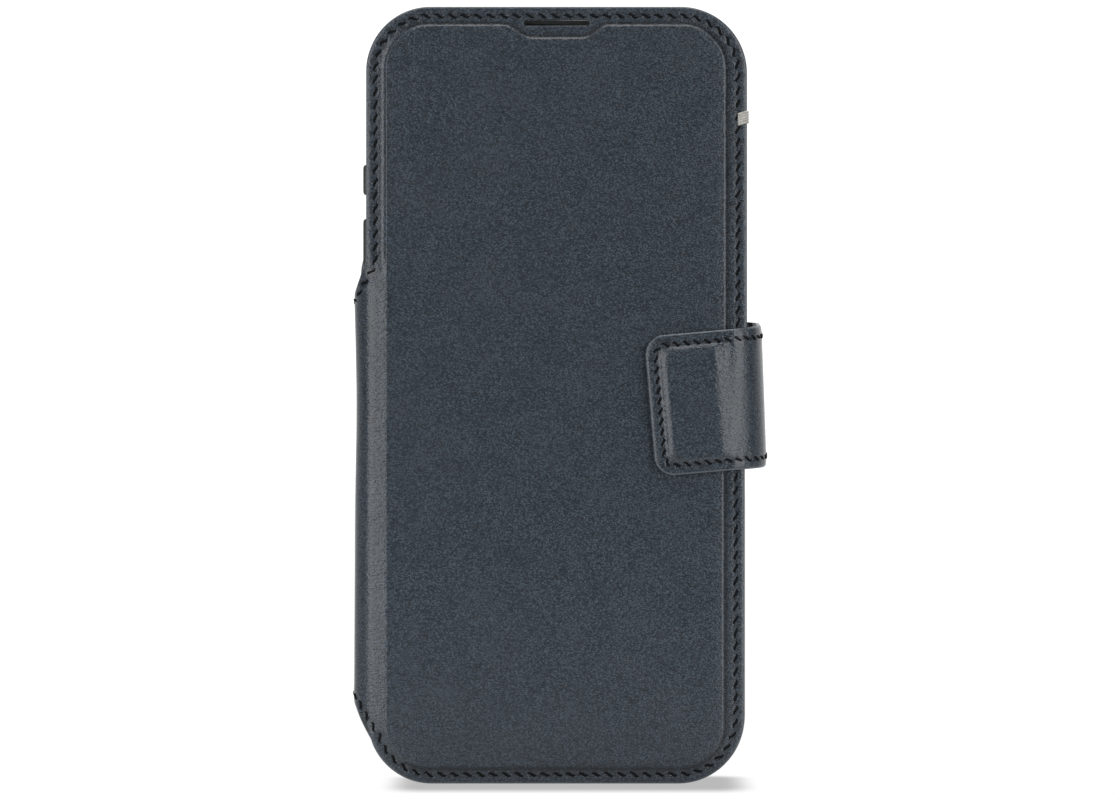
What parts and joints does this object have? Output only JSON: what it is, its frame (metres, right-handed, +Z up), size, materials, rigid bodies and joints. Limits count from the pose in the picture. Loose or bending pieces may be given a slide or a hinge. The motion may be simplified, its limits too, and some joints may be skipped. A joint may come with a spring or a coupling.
{
  "type": "phone wallet case",
  "caption": "Leather folio case for a slab phone, with a hinged cover, card pockets, a magnetic strap and a magnetically held inner case.",
  "frame": {"origin": "middle of the overall box in X and Y, at the base that the upright folio stands on", "axes": "+Z up along the case's height, front cover towards -Y, back panel towards +Y, spine towards -X"},
  "size_m": [0.0902, 0.0228, 0.1685],
  "materials": {
    "leather": "fine-grained slate leather, satin",
    "microfibre": "brushed microfibre lining",
    "board": "pressed fibre board",
    "dark_thread": "waxed sewing thread",
    "pale_thread": "dense satin-stitched thread",
    "magnet": "nickel plated",
    "bumper": "soft-touch moulded elastomer",
    "shell": "matt moulded plate",
    "ring_metal": "dark anodised"
  },
  "bodies": {
    "back_panel": {"back_leather": "leather", "back_board": "board", "back_magnet_ring": "magnet", "back_alignment_magnet": "magnet", "back_lining": "microfibre", "back_stitching": "dark_thread"},
    "spine": {"spine_leather": "leather", "spine_lining": "microfibre", "spine_bottom_stitching": "dark_thread", "spine_top_stitching": "dark_thread"},
    "cover": {"cover_leather": "leather", "cover_board": "board", "cover_magnet": "magnet", "cover_lining": "microfibre", "cash_pocket": "leather", "card_pocket_1": "leather", "card_pocket_2": "leather", "card_pocket_3": "leather", "cover_stitching": "dark_thread", "edge_tag": "pale_thread"},
    "strap_side": {"strap_side_leather": "leather", "strap_side_lining": "microfibre", "strap_upper_stitching": "dark_thread", "strap_lower_stitching": "dark_thread"},
    "strap_flap": {"flap_leather": "leather", "flap_magnet": "magnet", "flap_lining": "microfibre", "flap_stitching": "dark_thread"},
    "phone_case": {"case_bumper": "bumper", "case_lining": "microfibre", "case_shell": "shell", "case_magnet_ring": "magnet", "case_alignment_magnet": "magnet", "case_back_leather": "leather", "camera_ring": "ring_metal"},
    "action_button": {"action_button": "bumper"},
    "volume_up_button": {"volume_up_button": "bumper"},
    "volume_down_button": {"volume_down_button": "bumper"},
    "side_button": {"side_button": "bumper"}
  },
  "joints": [
    {"name": "spine_fold", "type": "hinge", "parent": "back_panel", "child": "spine", "pos_m": [-0.04264, 0.0092, 0.0843], "axis": [0, 0, -1], "range_deg": [0, 90]},
    {"name": "cover_fold", "type": "hinge", "parent": "spine", "child": "cover", "pos_m": [-0.04264, -0.0056, 0.0843], "axis": [0, 0, -1], "range_deg": [0, 90]},
    {"name": "strap_swing", "type": "hinge", "parent": "back_panel", "child": "strap_side", "pos_m": [0.04061, 0.00785, 0.0843], "axis": [-0.0523, 0, 0.9986], "range_deg": [0, 90]},
    {"name": "strap_fold", "type": "hinge", "parent": "strap_side", "child": "strap_flap", "pos_m": [0.04061, -0.00715, 0.0843], "axis": [-0.0523, 0, 0.9986], "range_deg": [0, 90]},
    {"name": "case_slide", "type": "slide", "parent": "back_panel", "child": "phone_case", "axis": [0, 0, 1], "range_m": [0, 0.17]},
    {"name": "action_button_press", "type": "slide", "parent": "phone_case", "child": "action_button", "axis": [1, 0, 0], "range_m": [0, 0.0005], "stiffness_N_per_m": 1000, "springref_m": -0.0005},
    {"name": "volume_up_button_press", "type": "slide", "parent": "phone_case", "child": "volume_up_button", "axis": [1, 0, 0], "range_m": [0, 0.0005], "stiffness_N_per_m": 1000, "springref_m": -0.0005},
    {"name": "volume_down_button_press", "type": "slide", "parent": "phone_case", "child": "volume_down_button", "axis": [1, 0, 0], "range_m": [0, 0.0005], "stiffness_N_per_m": 1000, "springref_m": -0.0005},
    {"name": "side_button_press", "type": "slide", "parent": "phone_case", "child": "side_button", "axis": [-1, 0, 0], "range_m": [0, 0.0005], "stiffness_N_per_m": 1000, "springref_m": -0.0005}
  ],
  "couplings": [
    {"joint": "cover_fold", "follows": "spine_fold", "ratio": 1}
  ]
}
